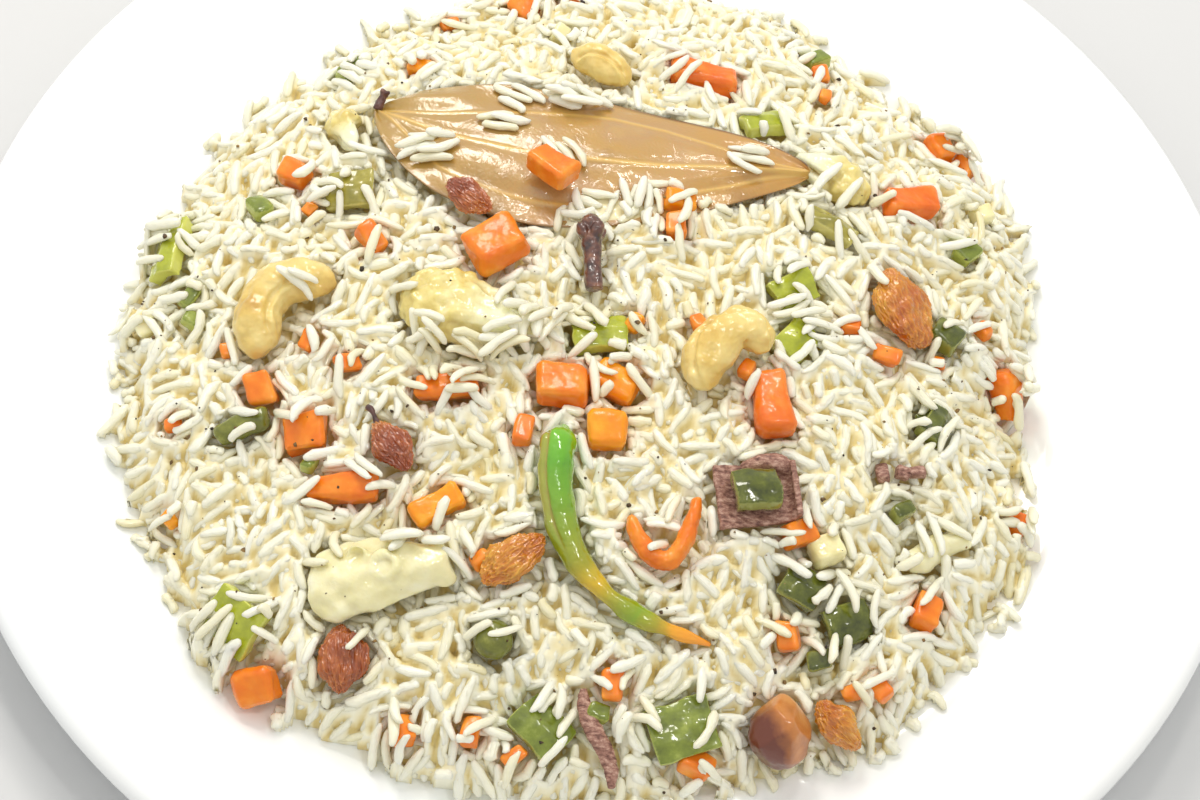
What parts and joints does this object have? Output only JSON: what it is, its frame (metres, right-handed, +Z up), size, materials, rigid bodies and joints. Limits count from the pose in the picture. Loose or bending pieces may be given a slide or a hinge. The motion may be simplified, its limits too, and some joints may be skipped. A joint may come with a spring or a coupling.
{
  "type": "plate of vegetable pulao rice",
  "caption": "Heaped vegetable pulao rice on a round white dinner plate, with diced vegetables, nuts, raisins, a bay leaf, a clove, cinnamon bark and a green chilli.",
  "frame": {"origin": "centre of the plate's foot ring, on the plane it rests on", "axes": "+Z up, -Y towards the diner the dish is turned to, +X to the diner's right"},
  "size_m": [0.28, 0.28, 0.047],
  "materials": {
    "white_porcelain": "smooth white glaze",
    "basmati_rice": "moist cooked rice, near white",
    "carrot": "cooked carrot, moist cut faces",
    "green_pepper": "cooked sweet pepper, glossy skin",
    "green_bean": "cooked bean and pea, dull olive green",
    "cauliflower": "cooked cauliflower, pale yellow",
    "green_chilli": "glossy chilli skin, orange at the tip",
    "cashew": "fried cashew, pale gold",
    "toasted_nut": "fried nut, browned",
    "raisin": "plump raisin, translucent amber",
    "bay_leaf": "oily dried bay leaf",
    "clove": "dried clove bud",
    "cinnamon_bark": "fibrous dark bark"
  },
  "bodies": {
    "root": {"plate": "white_porcelain", "rice_heap": "basmati_rice", "bark_strip": "cinnamon_bark", "bay_leaf": "bay_leaf", "bean_left": "green_bean", "carrot_01": "carrot", "carrot_02": "carrot", "carrot_03": "carrot", "carrot_04": "carrot", "carrot_05": "carrot", "carrot_06": "carrot", "carrot_07": "carrot", "carrot_08": "carrot", "carrot_09": "carrot", "carrot_10": "carrot", "carrot_11": "carrot", "carrot_12": "carrot", "carrot_13": "carrot", "carrot_14": "carrot", "carrot_slice": "carrot", "cashew_1": "cashew", "cashew_2": "cashew", "cashew_3": "cashew", "cauliflower_1": "cauliflower", "cauliflower_2": "cauliflower", "cauliflower_3": "cauliflower", "cauliflower_4": "cauliflower", "cauliflower_5": "cauliflower", "cinnamon_bark": "cinnamon_bark", "clove": "clove", "green_chilli": "green_chilli", "green_pea": "green_bean", "pepper_back_left": "green_pepper", "pepper_back_right": "green_pepper", "pepper_behind_leaf": "green_pepper", "pepper_by_nut_far": "green_pepper", "pepper_by_nut_near": "green_pepper", "pepper_front_left": "green_pepper", "pepper_front_middle": "green_pepper", "pepper_front_right": "green_pepper", "pepper_left": "green_pepper", "pepper_middle": "green_pepper", "pepper_on_bark": "green_pepper", "pepper_right": "green_pepper", "pepper_right_near_a": "green_pepper", "pepper_right_near_b": "green_pepper", "raisin_1": "raisin", "raisin_2": "raisin", "raisin_3": "raisin", "raisin_4": "raisin", "raisin_5": "raisin", "raisin_6": "raisin", "toasted_nut": "toasted_nut"}
  },
  "joints": []
}
